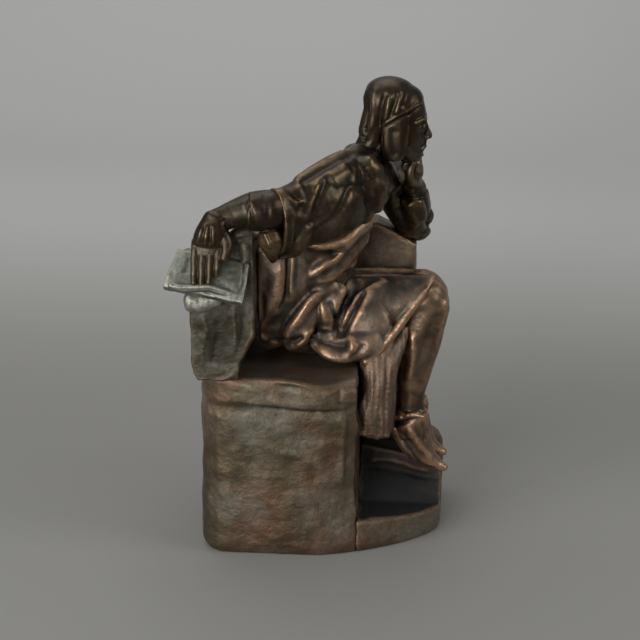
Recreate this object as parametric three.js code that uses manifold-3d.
// A seated poet in cast bronze: a robed figure on a stone seat, with its right arm laid over the back
// of the seat on an open book, its left elbow on the side block and its chin on its left hand.
// Millimetres, +Z up. The figure faces +X, and -Y is its right. Like the real thing it is an assembly
// of castings: hollow stonework bolted together from beneath, and figure sections that plug into one
// another with tenons, each held by a pin.
import * as THREE from 'three';
import Module from 'manifold-3d';
import { mergeVertices } from 'three/addons/utils/BufferGeometryUtils.js';

const wasm = await Module();
wasm.setup();

// Stonework
const BASE_REAR = -72;          // rear end of the rock
const BASE_FRONT = 81;          // front end of the step
const BASE_DEPTH = 122;         // from side to side
const REAR_CORNER = 20;         // plan radius of the rear corners
const SWEEP_LENGTH = 84;        // the near front corner is one long curve, this long
const SWEEP_DEPTH = 50;         // and this deep
const SWEEP_POWER = 1.55;       // 2 would make it an ellipse; less is flatter
const FAR_CORNER = 20;          // plan radius of the far front corner
const SEAT_HEIGHT = 120;        // top of the rock, which is the seat
const SEAT_FRONT = 27;          // where the rock ends and the step casting begins
const WALL = 5;                 // wall of the hollow castings
const SEAT_SLAB = 7;            // thickness of the rock's top
const TREAD_REAR = 22;          // height of the tread beside the rock
const TREAD_FRONT = 17;         // and at its front end
const LEDGE_REAR = 55;          // foot ledge on the far side of the tread, beside the rock
const LEDGE_FRONT = 43;         // and at its front end
const LEDGE_WIDTH = 43;         // from its near side to the side block
const BANK_RISE = 0.58;         // a rough bank climbs this share of the way from tread to ledge
const BANK_REAR = 17;           // width of the bank beside the rock
const BANK_FRONT = 7;           // and at its front end
const BACK_REAR = -75;          // back of the seat
const BACK_THICKNESS = 40;
const BACK_RISE = 97;           // its height above the seat, at its near front corner
const BACK_LEAN = 20;           // its top is this much lower at the rear
const BACK_FALL = 0.4;          // and falls this much per millimetre towards the far side
const BACK_OVERHANG = 3;        // it stands out past the rock's near side
const BOOK_SLOPE_DROP = 5.5;    // the slope under the book starts this far below its top
const BLOCK_FRONT = 61;         // side block under the left elbow
const BLOCK_WIDTH = 23;
const BLOCK_RISE = 74;          // its height above the seat
const BLOCK_DROP = 16;          // its top falls this far to the front end

// Fits and fasteners
const FIT = 0.3;                // clearance left at every seat, tenon and hole
const SOCKET = 0.5;             // clearance round a tenon
const STUD_RADIUS = 2.5;
const STUD_ENGAGEMENT = 14;     // length of stud above the seat
const NUT_HEIGHT = 4;
const NUT_ACROSS_FLATS = 8;
const WASHER_RADIUS = 5.5;
const WASHER_HEIGHT = 1;
const STUD_END = 2;             // length of stud that shows below its nut
const PIN_RADIUS = 1.5;
const SCREW_RADIUS = 2;
const SCREW_HEAD_RADIUS = 3.6;
const SCREW_HEAD_HEIGHT = 2.6;
const STEP_SCREW_INSET = 27;    // from each side of the base

// Figure, by its joints
const HIP_HEIGHT = 22;          // hip joints above the seat
const THIGH = 80;
const ANKLE_RISE = 34.3;        // ankle above the foot ledge, with the heel raised
const HIPS = 30;                // between the hip joints
const TRUNK = 94;               // hip joints to the root of the neck
const HEAD_HEIGHT = 48;
const SEATED_X = -8;            // where the figure sits along the seat
const SEATED_FROM_BLOCK = 32;   // and how far from the side block
const CAPE_HEM_RISE = 0.22;     // climb of the cape's hem per millimetre towards the front
const BOOK_LENGTH = 45;
const BOOK_FALL = 26;           // slope length of the half of the book that hangs down
const BOOK_THICKNESS = 4.5;

const BRONZE = { color: 0x5a4636, roughness: 0.36, metalness: 1 };
const STONE_BRONZE = { color: 0x5c5443, roughness: 0.5, metalness: 1 };
const BOOK_BRONZE = { color: 0x77725f, roughness: 0.5, metalness: 1 };
const STEEL = { color: 0x8d8f90, roughness: 0.45, metalness: 1 };

const vec = (x, y, z) => new THREE.Vector3(x, y, z);
const SIDEWAYS = vec(0, 1, 0);
const UP = vec(0, 0, 1);

// Turns a closed indexed surface into a solid, facing outwards.
function solidFrom(positions, triangles) {
  const make = (list) => new wasm.Manifold(new wasm.Mesh({
    numProp: 3,
    vertProperties: new Float32Array(positions),
    triVerts: new Uint32Array(list),
  }));
  const made = make(triangles);
  if (made.volume() > 0) return made;
  const turned = triangles.slice();
  for (let i = 0; i < turned.length; i += 3) {
    [turned[i + 1], turned[i + 2]] = [turned[i + 2], turned[i + 1]];
  }
  return make(turned);
}

// A three.js geometry with its shared corners merged, as a solid.
function solidOf(geometry) {
  const bare = geometry.clone();
  bare.deleteAttribute('normal');
  bare.deleteAttribute('uv');
  const merged = mergeVertices(bare, 1e-4);
  return solidFrom(Array.from(merged.attributes.position.array), Array.from(merged.index.array));
}

// Rings of points, one after another along a body, closed with a point at each end.
function skin(rings, first, last) {
  const around = rings[0].length;
  const positions = [...rings.flat(), first, last].flatMap((p) => [p.x, p.y, p.z]);
  const firstIndex = rings.length * around;
  const triangles = [];
  for (let i = 0; i < around; i += 1) {
    const j = (i + 1) % around;
    for (let k = 0; k < rings.length - 1; k += 1) {
      const a = k * around;
      const b = a + around;
      triangles.push(a + i, b + i, a + j, a + j, b + i, b + j);
    }
    const end = (rings.length - 1) * around;
    triangles.push(firstIndex, i, j, firstIndex + 1, end + j, end + i);
  }
  return solidFrom(positions, triangles);
}

// A limb is an oval carried along a smooth line. Each station is [x, y, z, a, b]: the oval's centre,
// its half-width along `across` and its half-width square to it. Two smaller rings and a point round
// off each end, `dome` times the oval's smaller half-width long.
const END_TURNS = [0.54, 1.08];
function limb(stations, { across = SIDEWAYS, around = 12, steps = 1, grow = 0, dome = 0.8 } = {}) {
  const smooth = (points) => new THREE.CatmullRomCurve3(points, false, 'centripetal');
  const line = smooth(stations.map((s) => vec(s[0], s[1], s[2])));
  const sizes = smooth(stations.map((s) => vec(s[3], s[4], 0)));
  const ringAt = (t, shrink, shift) => {
    const tangent = line.getTangent(t);
    const side = across.clone().addScaledVector(tangent, -across.dot(tangent)).normalize();
    const deep = tangent.clone().cross(side);
    const centre = line.getPoint(t).addScaledVector(tangent, shift);
    const size = sizes.getPoint(t);
    return Array.from({ length: around }, (_, i) => {
      const turn = (i / around) * 2 * Math.PI;
      return centre.clone()
        .addScaledVector(side, (size.x + grow) * shrink * Math.cos(turn))
        .addScaledVector(deep, (size.y + grow) * shrink * Math.sin(turn));
    });
  };
  const reach = (t) => Math.min(sizes.getPoint(t).x, sizes.getPoint(t).y) * dome + grow;
  const cap = (t, outwards) => END_TURNS.map(
    (turn) => ringAt(t, Math.cos(turn), outwards * reach(t) * Math.sin(turn)),
  );
  const count = (stations.length - 1) * steps;
  const body = Array.from({ length: count + 1 }, (_, i) => ringAt(i / count, 1, 0));
  const tip = (t, outwards) => line.getPoint(t).addScaledVector(line.getTangent(t), outwards * reach(t));
  return skin([...cap(0, -1).reverse(), ...body, ...cap(1, 1)], tip(0, -1), tip(1, 1));
}

// A fold is a thin round limb that lies along the cloth.
const fold = (stations, grow) => limb(
  stations.map(([x, y, z, r]) => [x, y, z, r, r]),
  { around: 7, grow },
);

const join = (parts) => parts.reduce((all, one) => all.add(one));

// Cuts can leave crumbs, so a piece keeps its main body only.
const mainBody = (solid) => solid.decompose().sort((a, b) => b.volume() - a.volume())[0];

function boxBetween(low, high) {
  const size = high.clone().sub(low);
  const middle = high.clone().add(low).multiplyScalar(0.5);
  return solidOf(new THREE.BoxGeometry(...size).translate(...middle));
}

// A round bar from one point to another.
function bar(from, to, radius, sides = 12) {
  const axis = to.clone().sub(from);
  const geometry = new THREE.CylinderGeometry(radius, radius, axis.length(), sides);
  geometry.applyQuaternion(new THREE.Quaternion().setFromUnitVectors(vec(0, 1, 0), axis.normalize()));
  const middle = from.clone().add(to).multiplyScalar(0.5);
  return solidOf(geometry.translate(...middle));
}

// An outline in plan, drawn upwards between two heights.
function column(outline, low, high) {
  const shape = new THREE.Shape(outline.map(([x, y]) => new THREE.Vector2(x, y)));
  const geometry = new THREE.ExtrudeGeometry(shape, { depth: high - low, bevelEnabled: false });
  return solidOf(geometry.translate(0, 0, low));
}

// An outline seen from the right, drawn from one side to the other.
function slab(outline, near, far) {
  const shape = new THREE.Shape(outline.map(([x, z]) => new THREE.Vector2(x, z)));
  const geometry = new THREE.ExtrudeGeometry(shape, { depth: far - near, bevelEnabled: false });
  return solidOf(geometry.rotateX(Math.PI / 2).translate(0, far, 0));
}

// The rock's plan, set in by `inset`: three round corners, and one long sweep at the near front.
function plan(inset, z) {
  const half = BASE_DEPTH / 2 - inset;
  const points = [];
  const rough = (turn) => 1 + 0.012 * Math.sin(5 * turn + z / 17) + 0.008 * Math.sin(9 * turn - z / 11);
  const arc = (cx, cy, radius, from, count) => {
    for (let i = 0; i <= count; i += 1) {
      const turn = from + (i / count) * (Math.PI / 2);
      const reach = radius * rough(turn);
      points.push([cx + reach * Math.cos(turn), cy + reach * Math.sin(turn)]);
    }
  };
  arc(BASE_FRONT - FAR_CORNER, half - FAR_CORNER + inset, FAR_CORNER - inset, 0, 4);
  arc(BASE_REAR + REAR_CORNER, half - REAR_CORNER + inset, REAR_CORNER - inset, Math.PI / 2, 4);
  arc(BASE_REAR + REAR_CORNER, REAR_CORNER - inset - half, REAR_CORNER - inset, Math.PI, 4);
  for (let i = 0; i <= 9; i += 1) {
    const turn = (i / 9) * (Math.PI / 2);
    const across = Math.sin(turn) ** (2 / SWEEP_POWER) * (SWEEP_LENGTH - inset);
    const deep = Math.cos(turn) ** (2 / SWEEP_POWER) * (SWEEP_DEPTH - inset) * rough(turn);
    points.push([BASE_FRONT - SWEEP_LENGTH + across, SWEEP_DEPTH - BASE_DEPTH / 2 - deep]);
  }
  return points;
}

// The rock is drawn up through its levels, each [height, inset].
function rock(levels) {
  const rings = levels.map(([z, inset]) => plan(inset, z).map(([x, y]) => vec(x, y, z)));
  const middle = (BASE_REAR + BASE_FRONT) / 2;
  return skin(rings, vec(middle, 0, levels[0][0]), vec(middle, 0, levels.at(-1)[0]));
}

const FAR = 400;
const nearEdge = -BASE_DEPTH / 2;
const farEdge = BASE_DEPTH / 2;
const rockOutside = rock([
  [0, 1.5], [SEAT_HEIGHT * 0.05, 0.2], [SEAT_HEIGHT * 0.3, 0], [SEAT_HEIGHT * 0.55, 1.4],
  [SEAT_HEIGHT * 0.78, 0.8], [SEAT_HEIGHT * 0.84, 2], [SEAT_HEIGHT * 0.87, 1], [SEAT_HEIGHT, 2.2],
]);
const aboveSeat = boxBetween(vec(-FAR, -FAR, SEAT_HEIGHT - FIT), vec(FAR, FAR, FAR));
const behindSeam = boxBetween(vec(-FAR, -FAR, -FAR), vec(SEAT_FRONT, FAR, FAR));
const aheadOfSeam = boxBetween(vec(SEAT_FRONT + FIT, -FAR, -FAR), vec(FAR, FAR, FAR));

// The rock's front corner is hewn off below its rim.
const hewnCorner = column(
  [[SEAT_FRONT - 7, nearEdge - 5], [SEAT_FRONT + 5, nearEdge - 5], [SEAT_FRONT + 5, nearEdge + 11]],
  SEAT_HEIGHT * 0.4, SEAT_HEIGHT * 0.86,
);
const slabUnder = SEAT_HEIGHT - SEAT_SLAB;
const rockHollow = rock([[-1, WALL + 1.5], [SEAT_HEIGHT / 2, WALL + 2], [slabUnder, WALL + 3]])
  .intersect(boxBetween(vec(-FAR, -FAR, -FAR), vec(SEAT_FRONT - WALL, FAR, FAR)));

// The space over a sloping top, given by the four corners of the slope.
function spaceOver(corners) {
  const low = corners.map(([x, y, z]) => vec(x, y, z));
  const high = corners.map(([x, y]) => vec(x, y, FAR));
  const middle = (ring) => ring.reduce((sum, p) => sum.add(p), vec(0, 0, 0)).multiplyScalar(0.25);
  return skin([low, high], middle(low), middle(high));
}

// The same, for a top that slopes along x only.
const spaceOverRamp = ([x0, z0], [x1, z1], near, far) => spaceOver([
  [x0, near, z0], [x1, near, z1], [x1, far, z1], [x0, far, z0],
]);

// The step's top: a flat tread, a rough bank beside it and the ledge that the feet rest on.
const stepRear = SEAT_FRONT - 1;
const stepFront = BASE_FRONT + 3;
const alongStep = (rear, front, x) => (
  rear + ((front - rear) * (x - SEAT_FRONT)) / (BASE_FRONT - SEAT_FRONT)
);
const ledgeSide = farEdge - BLOCK_WIDTH - LEDGE_WIDTH;
const treadAt = (x) => alongStep(TREAD_REAR, TREAD_FRONT, x);
const ledgeAt = (x) => alongStep(LEDGE_REAR, LEDGE_FRONT, x);
const bankAt = (x) => treadAt(x) + BANK_RISE * (ledgeAt(x) - treadAt(x));
const overTread = spaceOver([
  [stepRear, nearEdge - 9, treadAt(stepRear)], [stepFront, nearEdge - 9, treadAt(stepFront)],
  [stepFront, ledgeSide - BANK_FRONT, treadAt(stepFront)],
  [stepRear, ledgeSide - BANK_REAR, treadAt(stepRear)],
]);
const overBank = spaceOver([
  [stepRear, ledgeSide - BANK_REAR - 0.01, treadAt(stepRear)],
  [stepFront, ledgeSide - BANK_FRONT - 0.01, treadAt(stepFront)],
  [stepFront, ledgeSide, bankAt(stepFront)], [stepRear, ledgeSide, bankAt(stepRear)],
]);
const overLedge = spaceOverRamp(
  [stepRear, ledgeAt(stepRear)], [stepFront, ledgeAt(stepFront)], ledgeSide - 0.01, farEdge + 5,
);
const stepCore = SEAT_FRONT + FIT + WALL;
const stepHollow = rock([[-1, WALL + 1.5], [TREAD_FRONT - WALL, WALL + 2.5]])
  .intersect(boxBetween(vec(stepCore, -FAR, -FAR), vec(BASE_FRONT - WALL - 4, FAR, FAR)));
const ledgeCeiling = LEDGE_FRONT - WALL - 2;
const ledgeHollow = boxBetween(
  vec(stepCore, ledgeSide + WALL + 2, -1), vec(BASE_FRONT - 3 * WALL, farEdge - 2 * WALL, ledgeCeiling),
);

// Back of the seat: an outline seen from the right, with a top that falls to the rear and to the far
// side, and a slope at the near end that the book hangs over.
const backFront = BACK_REAR + BACK_THICKNESS;
const backTop = SEAT_HEIGHT + BACK_RISE;
const backNear = nearEdge - BACK_OVERHANG;
function backForm(grow) {
  const front = backFront + grow;
  const rear = BACK_REAR - grow;
  const foot = SEAT_HEIGHT;
  const body = slab([
    [rear + 5, foot], [front - 10, foot], [front - 9.5, foot + 11], [front - 5, foot + 19],
    [front - 1, foot + 27], [front, foot + 45], [front, backTop + grow], [rear + 8, backTop + grow],
    [rear + 2, backTop - 20], [rear + 1, foot + 64], [rear, foot + 52], [rear + 1, foot + 30],
    [rear + 0.5, foot + 12], [rear + 2, foot + 4],
  ], backNear - grow, farEdge - 1 + grow);
  const farTop = backTop - BACK_FALL * BASE_DEPTH + grow;
  const overTop = spaceOver([
    [rear - 2, backNear - 2, backTop + grow - BACK_LEAN], [front + 2, backNear - 2, backTop + grow],
    [front + 2, farEdge + 5, farTop], [rear - 2, farEdge + 5, farTop - BACK_LEAN],
  ]);
  const lip = backTop - BOOK_SLOPE_DROP + 1.4 * grow;
  const overBookSlope = spaceOver([
    [rear - 5, backNear - 20, lip - 20], [front + 5, backNear - 20, lip - 20],
    [front + 5, backNear + 30, lip + 30], [rear - 5, backNear + 30, lip + 30],
  ]);
  return body.subtract(overTop).subtract(overBookSlope);
}
const backHollow = slab([
  [BACK_REAR + WALL + 2, SEAT_HEIGHT - 1], [backFront - 2 * WALL - 4, SEAT_HEIGHT - 1],
  [backFront - WALL - 2, SEAT_HEIGHT + 20], [backFront - WALL - 2, SEAT_HEIGHT + 33],
  [BACK_REAR + WALL + 3, SEAT_HEIGHT + 16],
], backNear + WALL + 1, farEdge - WALL - 1);

// The side block is an arm of the seat. Its front leg stands on the foot ledge, against the rock.
const blockNear = farEdge - BLOCK_WIDTH;
const blockFar = farEdge - 2;
const blockTop = SEAT_HEIGHT + BLOCK_RISE;
function blockForm(grow) {
  const rear = backFront + FIT - grow;
  const rockFace = SEAT_FRONT + FIT - grow;
  const front = BLOCK_FRONT + grow;
  const top = blockTop + grow;
  return slab([
    [rear, SEAT_HEIGHT - grow], [rockFace, SEAT_HEIGHT - grow],
    [rockFace, ledgeAt(SEAT_FRONT) + FIT - grow], [front, ledgeAt(BLOCK_FRONT) + FIT - grow],
    [front, top - BLOCK_DROP], [BLOCK_FRONT - 13, top - BLOCK_DROP * 0.5],
    [BLOCK_FRONT - 25, top - BLOCK_DROP * 0.12], [BLOCK_FRONT - 42, top], [rear, top - 8],
  ], blockNear - grow, blockFar + grow);
}

// Joints of the figure. Everything on the body hangs on these points.
const seated = vec(SEATED_X, blockNear - SEATED_FROM_BLOCK, SEAT_HEIGHT);
const rightHip = seated.clone().add(vec(0, -HIPS / 2, HIP_HEIGHT));
const leftHip = seated.clone().add(vec(0, HIPS / 2, HIP_HEIGHT));
const rightKnee = rightHip.clone().add(vec(0.972, 0, 0.195).multiplyScalar(THIGH));
const leftKnee = leftHip.clone().add(vec(0.96, 0.02, 0.13).multiplyScalar(THIGH));
const SHIN_BACK = 12;
const ankleUnder = (knee, inwards) => (
  vec(knee.x - SHIN_BACK, knee.y - inwards, ledgeAt(knee.x - SHIN_BACK) + ANKLE_RISE)
);
const rightAnkle = ankleUnder(rightKnee, 1);
const leftAnkle = ankleUnder(leftKnee, 8);
const neck = seated.clone().add(vec(0.42, 0.08, 1.26).multiplyScalar(TRUNK));
const headCentre = neck.clone().add(vec(18.5, 1.5, 27.5));
const rightShoulder = neck.clone().add(vec(-23, -42, -5));
const leftShoulder = neck.clone().add(vec(7, 29, -9));
const leftElbow = vec(BLOCK_FRONT - 1, farEdge - 10, blockTop - BLOCK_DROP + 10);
const chinHand = headCentre.clone().add(vec(7, 8, -29));
const bookTop = vec(backFront - 24, backNear + 2, backTop - 17);
const rightWrist = vec(backFront - 22, backNear - 2, backTop + 7);
const rightElbow = vec(backFront + 8, backNear + 7, backTop + 9);

// Stations measured from a point p, or from a point part of the way from p to q.
const at = (p, x, y, z, a, b) => [p.x + x, p.y + y, p.z + z, a, b];
const part = (p, q, t, x, y, z, a, b) => at(p.clone().lerp(q, t), x, y, z, a, b);

// Legs, each with the stub that is hidden in the robe, and a soft pointed shoe with a flared cuff.
function legForm(hip, knee, ankle, grow) {
  const stub = [
    part(hip, knee, 0.62, 0, 0, 0, 11, 11), part(hip, knee, 0.85, 0, 0, 0, 12, 13),
    at(knee, -3, 0, 0, 12.5, 14), at(knee, 2, 0, -5, 12.5, 13.5),
  ];
  const shin = [
    at(knee, 0, 0, -4, 12.5, 14.5), part(knee, ankle, 0.2, 0, 0, 0, 12, 14.3),
    part(knee, ankle, 0.38, -1, 0, 0, 11.5, 13.5), part(knee, ankle, 0.62, -1, 0, 0, 9.5, 11),
    part(knee, ankle, 0.85, 0, 0, 0, 7.6, 8.8), at(ankle, 0, 0, 0, 7.5, 8.6),
  ];
  const cuff = [
    at(ankle, 0, 0, 4, 10, 13), at(ankle, 0, 0, -2, 10, 12), at(ankle, -1, 0, -9, 9.5, 11),
  ];
  const shoe = [
    at(ankle, -8, 0, -8, 8, 8), at(ankle, -1, 0, -13, 9.5, 10.5), at(ankle, 6, 0, -22, 9, 9),
    at(ankle, 13, 0, -29, 8, 7), at(ankle, 20, 0, -35, 6, 4.8), at(ankle, 25.5, 0, -38.5, 3.4, 2.8),
  ];
  return join([
    limb(stub, { grow }), limb(shin, { grow }), limb(cuff, { grow, dome: 0.1 }), limb(shoe, { grow }),
  ]);
}
const rightLegForm = (grow) => legForm(rightHip, rightKnee, rightAnkle, grow);
const leftLegForm = (grow) => legForm(leftHip, leftKnee, leftAnkle, grow);

// Robe from the waist down: hips, both thighs, the cloth between them, the waist and the main folds.
function robeForm(grow) {
  const hip = (x, y, z, a, b) => at(rightHip, x, y, z, a, b);
  const knee = (x, y, z, a) => at(rightKnee, x, y, z, a);
  const bodies = [
    [hip(-24, 15, -4, 24, 20), hip(-14, 15, 0, 32, 26), hip(8, 15, 0, 33, 27), hip(30, 15, 2, 32, 24)],
    [
      hip(2, 1, 1, 19, 21), part(rightHip, rightKnee, 0.4, 0, 0, 1, 18.5, 20.5),
      part(rightHip, rightKnee, 0.75, 0, 0, 0, 16.5, 18), at(rightKnee, 2, 0, 0, 14.5, 16),
    ],
    [
      at(leftHip, 2, 0, 1, 18, 21), part(leftHip, leftKnee, 0.4, 0, 0, 1, 17.5, 19),
      part(leftHip, leftKnee, 0.75, 0, 0, 0, 16, 16), at(leftKnee, 2, 0, 0, 14, 14),
    ],
    [hip(20, 15, 8, 16, 17), hip(45, 16, 10, 15, 15), hip(70, 17, 13, 14, 11)],
    [
      hip(2, 14, 4, 33, 26), part(rightHip, neck, 0.28, 0, 8, 0, 32, 28),
      part(rightHip, neck, 0.5, -2, 4, 0, 32, 26), part(rightHip, neck, 0.66, 0, 3, 0, 30, 22),
    ],
    [hip(24, -17, -2, 6, 20), hip(40, -19, -2, 6, 18), hip(52, -16, 2, 6, 16)],
  ];
  const hem = [
    knee(4, -6, 12, 3), knee(-9, -14, -2, 3), knee(-20, -19, -16, 3.2), knee(-31, -24, -28, 3.5),
    knee(-37, -27, -33, 3.5),
  ];
  const swag = [hip(4, -22, 3, 5), hip(10, -26, -9, 6), hip(22, -28, -14, 6.5), hip(36, -26, -10, 6)];
  const tongue = [hip(14, -19, 24, 6), hip(9, -22, 10, 7), hip(12, -24, -2, 6)];
  const pointedEnd = [hip(0, -24, 26, 7), hip(-8, -26, 6, 7), hip(-12, -24, -10, 5.5)];
  const longFolds = [
    [hip(-19, -31, 48, 8), hip(-21, -27, 23, 8), hip(-22, -17, -2, 7)],
    [hip(-8, -31, 50, 9), hip(-12, -26, 23, 9), hip(-14, -17, 0, 8)],
  ];
  return join([
    ...bodies.map((stations) => limb(stations, { grow })),
    ...[hem, swag, tongue, pointedEnd, ...longFolds].map((stations) => fold(stations, grow)),
  ]);
}

// The end of the robe that hangs down the front of the rock, between the legs and the stone.
function drapeForm(grow) {
  const top = vec(SEAT_FRONT + 12, rightHip.y - 3, SEAT_HEIGHT);
  return limb([
    at(top, 0, 0, 6, 27, 11), at(top, 0.5, 0, -10, 29, 12), at(top, 0, 0, -26, 30, 12),
    at(top, -1.5, 1, -40, 31, 13), at(top, -2, 1, -46, 31, 13.5),
  ], { grow, dome: 0.1 });
}

// Upper body: chest and back, both shoulders, the wide right sleeve and the hood round the neck.
const shoulderLine = leftShoulder.clone().sub(rightShoulder).normalize();
function torsoForm(grow) {
  const low = neck.clone().lerp(seated, 0.52);
  const chest = [
    at(low, 4, 4, 2, 29, 19), part(low, neck, 0.35, 2, 2, 0, 34, 23),
    part(low, neck, 0.65, 0, 0, 0, 37, 22), part(low, neck, 0.88, 0, -2, 0, 33, 18),
    at(neck, -2, -1, 4, 17, 14),
  ];
  const upperArm = [
    at(neck, -4, -8, -2, 18, 13), at(rightShoulder, 4, 6, 2, 17, 15),
    part(rightShoulder, rightElbow, 0.45, 0, 0, 0, 15, 15),
    part(rightShoulder, rightElbow, 0.85, 0, 0, -3, 14, 14),
  ];
  const otherShoulder = [at(neck, 0, 10, -4, 16, 13), at(leftShoulder, -3, 2, 0, 16, 15)];
  const sleeve = [
    at(neck, 5, -26, -20, 18, 10), part(rightShoulder, rightElbow, 0.1, 10, 2, -10, 22, 13),
    part(rightShoulder, rightElbow, 0.5, 2, -1, -11, 22, 14), at(rightElbow, 4, 2, -12, 22, 12.5),
    at(rightElbow, -1, -1, -12, 22, 11),
  ];
  const hood = [
    at(neck, 14, -17, -10, 5), at(neck, 6, -18, 1, 6.5), at(neck, -9, -10, 4, 7),
    at(neck, -12, 4, 4, 7), at(neck, -3, 18, 1, 6.5), at(neck, 12, 17, -8, 5),
  ];
  return join([
    limb(chest, { grow, across: shoulderLine, around: 14, steps: 2 }),
    limb(upperArm, { grow, across: UP }), limb(otherShoulder, { grow, across: UP }),
    limb(sleeve, { grow, across: UP, around: 14 }), fold(hood, grow),
  ]);
}

// Head: skull, a plain face, the neck with its tenon, and a soft cap with a tail and ear flaps.
function headForm(grow) {
  const size = HEAD_HEIGHT / 48;
  const here = (x, y, z, a, b) => at(headCentre, x * size, y * size, z * size, a * size, b * size);
  const skull = [here(-2, 0, -5, 13, 15), here(-1, 0, 4, 16.5, 20), here(-1, 0, 12, 14.5, 17)];
  const face = [
    here(9, 0, 8, 11, 9), here(10, 0, -2, 11.5, 9), here(10, 0, -10, 10, 8.5), here(10, 0, -18, 7, 6.5),
    here(11, 0, -21, 4.5, 4.5),
  ];
  const nose = [here(17, 0, 2, 1.6, 1.5), here(20, 0, -3, 2, 1.8), here(21, 0, -7, 2.8, 2)];
  const tenon = [here(-2, 0, -2, 11, 12), at(neck, 2, 0, 6, 10.5, 11), at(neck, 0, 0, -8, 10, 10)];
  const cap = [
    here(9, 0, 17, 12, 7), here(-2, 0, 20, 14, 7), here(-12, 0, 17, 14, 9), here(-17, 0, 4, 13, 6),
    here(-20, -1, -8, 12, 5), here(-24, -2, -17, 11, 5),
  ];
  const earFlap = (side) => limb([
    here(-3, 14 * side, 6, 10, 4), here(-3, 16 * side, -6, 9, 3.5), here(-4, 17 * side, -15, 7.5, 3),
    here(-5, 16 * side, -22, 5, 2.8),
  ], { grow, across: vec(1, 0, 0), around: 10 });
  return join([
    limb(skull, { grow, around: 14, steps: 2 }), limb(face, { grow }), limb(nose, { grow, around: 8 }),
    limb(tenon, { grow }), limb(cap, { grow }), earFlap(-1), earFlap(1),
  ]);
}

// Left arm: sleeve from the shoulder to the elbow on the block, forearm, and the hand at the chin.
function leftArmForm(grow) {
  const sleeve = [
    at(leftShoulder, 0, 4, -1, 13, 12), part(leftShoulder, leftElbow, 0.35, 0, 3, 0, 15, 14),
    part(leftShoulder, leftElbow, 0.7, 0, 0, 0, 14, 13), at(leftElbow, 1, 0, 0, 12, 11),
    at(leftElbow, 3, 0, -4, 9, 8),
  ];
  const forearm = [
    at(leftElbow, 0, 0, 2, 10, 10), part(leftElbow, chinHand, 0.4, 1, -1, 0, 9, 9),
    part(leftElbow, chinHand, 0.72, 1, -1, 0, 6.5, 6.5), at(chinHand, 0, 0, -2, 7.5, 6.5),
    at(chinHand, -1, -5, 3, 6.5, 5.5),
  ];
  return limb(sleeve, { grow }).add(limb(forearm, { grow }));
}

// Right forearm, with the stub that is hidden in the sleeve, and the hand that hangs over the book.
const FINGERS = [-7.2, -2.4, 2.4, 7];
function rightHandForm(grow) {
  const knuckles = bookTop.clone().add(vec(0, -9, 8));
  const tips = bookTop.clone().add(vec(-1, -19, -15));
  const forearm = [
    at(rightElbow, 12, 6, -2, 9, 9), at(rightElbow, 2, 0, 1, 9.5, 10),
    part(rightElbow, rightWrist, 0.5, 0, 0, 2, 8.5, 9),
    part(rightElbow, rightWrist, 0.85, 0, 0, 1, 7.5, 7.5), at(rightWrist, -1, 0, -1, 7.5, 7),
  ];
  const palm = [
    at(rightWrist, 0, -1, 1, 8.5, 6), at(rightWrist, -3, -5, -9, 10, 5.5),
    at(knuckles, 0, 0, 0, 10.5, 4.5), at(knuckles, 0, -2, -4, 10, 3.6),
  ];
  const finger = (x) => [
    at(knuckles, x, -1, -1, 2.7), part(knuckles, tips, 0.5, x, -1, 0, 2.5),
    at(tips, x * 0.9, 0, Math.abs(x) * 0.3, 2),
  ];
  const thumb = [
    at(rightWrist, 4, -1, -6, 4), at(rightWrist, 12, -3, -14, 3.6), at(rightWrist, 16, -3, -24, 2.8),
  ];
  return join([
    limb(forearm, { grow, across: UP }), limb(palm, { grow, across: vec(1, 0, 0) }),
    ...FINGERS.map((x) => fold(finger(x), grow)), fold(thumb, grow),
  ]);
}

// The open book: one half lies on the back of the seat, the other hangs down its near end.
const bookSlope = vec(-0.2, -0.68, -0.72).normalize();
function bookForm(grow) {
  const along = vec(1, 0, -0.11).normalize();
  const out = along.clone().cross(bookSlope).normalize();
  const hangingAt = bookTop.clone().addScaledVector(bookSlope, BOOK_FALL / 2).add(vec(0, -2, 0));
  const place = new THREE.Matrix4().makeBasis(along, bookSlope, out).setPosition(hangingAt);
  const board = (length, fall) => (
    new THREE.BoxGeometry(length + 2 * grow, fall + 2 * grow, BOOK_THICKNESS + 2 * grow)
  );
  const lyingAt = bookTop.clone().add(vec(0, BOOK_FALL * 0.26, 1));
  const hanging = board(BOOK_LENGTH, BOOK_FALL).applyMatrix4(place);
  const lying = board(BOOK_LENGTH - 4, BOOK_FALL * 0.6).translate(...lyingAt);
  return solidOf(hanging).add(solidOf(lying));
}

// Studs, each with its washer and nut under the rock's top
const STUDS = [
  ['robe_stud_front', seated.x + 20, seated.y], ['robe_stud_rear', seated.x - 12, seated.y],
  ['back_stud_near', BACK_REAR + 17, backNear + 24], ['back_stud_far', BACK_REAR + 17, farEdge - 21],
  ['block_stud', SEAT_FRONT - 15, blockNear + 7],
];
const washerTop = slabUnder - FIT;
const nutTop = washerTop - WASHER_HEIGHT - FIT;
const studHole = (x, y) => bar(vec(x, y, 0), vec(x, y, SEAT_HEIGHT), STUD_RADIUS + FIT);
const washer = (x, y) => (
  bar(vec(x, y, washerTop - WASHER_HEIGHT), vec(x, y, washerTop), WASHER_RADIUS, 16).subtract(studHole(x, y))
);
const hexNut = (x, y) => (
  bar(vec(x, y, nutTop - NUT_HEIGHT), vec(x, y, nutTop), NUT_ACROSS_FLATS / Math.sqrt(3), 6)
    .subtract(studHole(x, y))
);
const stud = (x, y, grow) => bar(
  vec(x, y, nutTop - NUT_HEIGHT - STUD_END - grow), vec(x, y, SEAT_HEIGHT + STUD_ENGAGEMENT + grow),
  STUD_RADIUS + grow,
);
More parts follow.
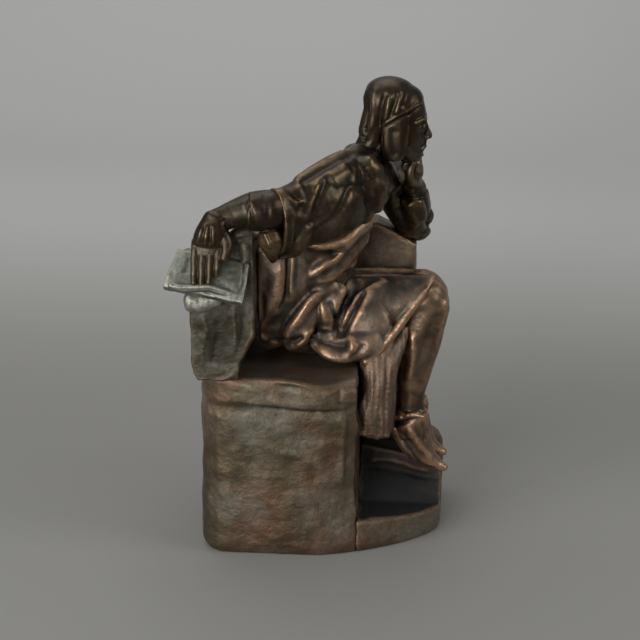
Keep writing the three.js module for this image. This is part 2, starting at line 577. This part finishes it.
const studHoles = join(STUDS.map(([, x, y]) => stud(x, y, FIT)));
const studBoss = ([, x, y]) => bar(
  vec(x, y, SEAT_HEIGHT), vec(x, y, SEAT_HEIGHT + STUD_ENGAGEMENT + WALL), STUD_RADIUS + WALL,
);

// A pin goes through the wall of a socket into its tenon. Each is given by its two ends.
const pinAlong = (middle, direction, length) => [-0.5, 0.5].map(
  (way) => middle.clone().addScaledVector(direction, way * length),
);
const waistJoint = seated.clone().lerp(neck, 0.76);
const PINS = {
  neck_pin: pinAlong(neck.clone().add(vec(1, 0, -3)), SIDEWAYS, 26),
  waist_pin_right: pinAlong(waistJoint.clone().add(vec(0, -29, 0)), SIDEWAYS, 16),
  waist_pin_left: pinAlong(waistJoint.clone().add(vec(-2, 23, 0)), SIDEWAYS, 16),
  right_arm_pin: pinAlong(rightElbow.clone().add(vec(11, 5, -2)), vec(0.5, 0.2, -1).normalize(), 24),
  left_arm_pin: pinAlong(leftShoulder.clone().add(vec(-1, 1, 0)), vec(-1, 0, 0.15).normalize(), 22),
  right_leg_pin: pinAlong(rightHip.clone().lerp(rightKnee, 0.66), SIDEWAYS, 26),
  left_leg_pin: pinAlong(leftHip.clone().lerp(leftKnee, 0.66), SIDEWAYS, 24),
  book_pin_rear: pinAlong(bookTop.clone().add(vec(-3, 8, -4)), UP, 12),
  book_pin_front: pinAlong(bookTop.clone().add(vec(13, 8, -4)), UP, 12),
};
function pin(name, grow) {
  const [from, to] = PINS[name];
  const along = to.clone().sub(from).normalize().multiplyScalar(grow);
  return bar(from.clone().sub(along), to.clone().add(along), PIN_RADIUS + grow, 10);
}
const pinHoles = (...names) => join(names.map((name) => pin(name, FIT)));

// A screw has a round head on the inside of the wall that it goes through. Each is [head, tip].
const innerWall = SEAT_FRONT - WALL - FIT;
const forwardScrew = (y, z) => [vec(innerWall, y, z), vec(SEAT_FRONT + 11, y, z)];
const blockScrewAt = (z) => vec(SEAT_FRONT + 15, blockNear + 8, z);
const SCREWS = {
  step_screw_near: forwardScrew(nearEdge + STEP_SCREW_INSET, TREAD_FRONT - WALL),
  step_screw_far: forwardScrew(farEdge - STEP_SCREW_INSET, TREAD_FRONT - WALL),
  drape_screw: forwardScrew(rightHip.y + 3, SEAT_HEIGHT - 30),
  block_screw: [blockScrewAt(ledgeCeiling - FIT), blockScrewAt(LEDGE_REAR + 12)],
};
function screw(name, grow) {
  const [head, tip] = SCREWS[name];
  const along = tip.clone().sub(head).normalize();
  const headEnd = head.clone().addScaledVector(along, -SCREW_HEAD_HEIGHT - grow);
  const tipEnd = tip.clone().addScaledVector(along, grow);
  return bar(headEnd, head, SCREW_HEAD_RADIUS + grow, 16).add(bar(headEnd, tipEnd, SCREW_RADIUS + grow));
}
const screwHoles = (...names) => join(names.map((name) => screw(name, FIT)));

// The cape's hem lies in a plane that climbs from the sleeve's mouth to the belly, and the robe's in
// one that falls from the knees back to the seat.
const capeHemAt = (x) => rightElbow.z - 34 + CAPE_HEM_RISE * (x - rightElbow.x);
const aboveCapeHem = spaceOverRamp(
  [BACK_REAR, capeHemAt(BACK_REAR)], [BASE_FRONT, capeHemAt(BASE_FRONT)], nearEdge - 30, farEdge + 30,
);
const beyondRobeHem = solidOf(
  new THREE.BoxGeometry(FAR, FAR, FAR).translate(FAR / 2, 0, 0).rotateY(Math.atan2(0.65, 0.76))
    .translate(rightKnee.x + 3, rightKnee.y, rightKnee.z + 13),
);
const onSeat = boxBetween(vec(-FAR, nearEdge, SEAT_HEIGHT + FIT), vec(FAR, blockNear - FIT, FAR))
  .subtract(boxBetween(vec(-FAR, -FAR, -FAR), vec(backFront + FIT, FAR, backTop)));
const robeCore = limb([
  at(seated, 4, 1, -4, 14, 7.5), at(seated, 4, 1, 22, 14, 9), at(seated, 12, 2, 52, 13, 11),
], { around: 10 });
const legSockets = rightLegForm(SOCKET).add(leftLegForm(SOCKET));

const statue = new THREE.Group();
function add(name, solid, finish) {
  const { vertProperties, triVerts } = mainBody(solid).getMesh();
  const geometry = new THREE.BufferGeometry();
  geometry.setAttribute('position', new THREE.BufferAttribute(new Float32Array(vertProperties), 3));
  geometry.setIndex(Array.from(triVerts));
  geometry.computeVertexNormals();
  const mesh = new THREE.Mesh(geometry, new THREE.MeshStandardMaterial(finish));
  mesh.name = name;
  statue.add(mesh);
}

// Castings, each cut by the neighbours that seat in it
add('rock_base', rockOutside.intersect(behindSeam).subtract(aboveSeat).subtract(hewnCorner)
  .subtract(rockHollow).subtract(studHoles)
  .subtract(screwHoles('step_screw_near', 'step_screw_far', 'drape_screw')), STONE_BRONZE);
add('foot_step', rockOutside.intersect(aheadOfSeam).subtract(overTread).subtract(overBank)
  .subtract(overLedge).subtract(stepHollow).subtract(ledgeHollow)
  .subtract(rightLegForm(FIT)).subtract(leftLegForm(FIT))
  .subtract(screwHoles('step_screw_near', 'step_screw_far', 'block_screw')), STONE_BRONZE);
add('seat_back', backForm(0).subtract(backHollow.subtract(join(STUDS.slice(2, 4).map(studBoss))))
  .subtract(bookForm(FIT)).subtract(studHoles)
  .subtract(pinHoles('book_pin_rear', 'book_pin_front')), STONE_BRONZE);
add('side_block', blockForm(0).subtract(leftLegForm(FIT)).subtract(studHoles)
  .subtract(screwHoles('block_screw')), STONE_BRONZE);
add('open_book', bookForm(0).subtract(pinHoles('book_pin_rear', 'book_pin_front')), BOOK_BRONZE);
add('lower_robe', robeForm(0).intersect(onSeat).subtract(beyondRobeHem).subtract(legSockets)
  .subtract(robeCore).subtract(studHoles)
  .subtract(pinHoles('right_leg_pin', 'left_leg_pin', 'waist_pin_right', 'waist_pin_left')), BRONZE);
add('front_drape', drapeForm(0).intersect(aheadOfSeam).subtract(robeForm(FIT)).subtract(legSockets)
  .subtract(screwHoles('drape_screw')), BRONZE);
add('right_leg', rightLegForm(0).subtract(pinHoles('right_leg_pin')), BRONZE);
add('left_leg', leftLegForm(0).subtract(pinHoles('left_leg_pin')), BRONZE);
add('torso', torsoForm(0).intersect(aboveCapeHem).subtract(robeForm(SOCKET)).subtract(blockForm(FIT))
  .subtract(backForm(FIT)).subtract(headForm(SOCKET)).subtract(leftArmForm(SOCKET))
  .subtract(rightHandForm(SOCKET)).subtract(bookForm(FIT)).subtract(
    pinHoles('neck_pin', 'waist_pin_right', 'waist_pin_left', 'right_arm_pin', 'left_arm_pin'),
  ), BRONZE);
add('head', headForm(0).subtract(pinHoles('neck_pin')), BRONZE);
add('right_forearm', rightHandForm(0).subtract(bookForm(FIT)).subtract(backForm(FIT))
  .subtract(pinHoles('right_arm_pin')), BRONZE);
add('left_arm', leftArmForm(0).subtract(blockForm(FIT)).subtract(headForm(FIT))
  .subtract(pinHoles('left_arm_pin')), BRONZE);

for (const [name, x, y] of STUDS) {
  add(name, stud(x, y, 0), STEEL);
  add(name.replace('stud', 'washer'), washer(x, y), STEEL);
  add(name.replace('stud', 'nut'), hexNut(x, y), STEEL);
}
for (const name of Object.keys(PINS)) add(name, pin(name, 0), STEEL);
for (const name of Object.keys(SCREWS)) add(name, screw(name, 0), STEEL);

// The origin is under the middle of the whole piece.
const middle = new THREE.Box3().setFromObject(statue).getCenter(new THREE.Vector3());
statue.position.set(-middle.x, -middle.y, 0);

export default statue;
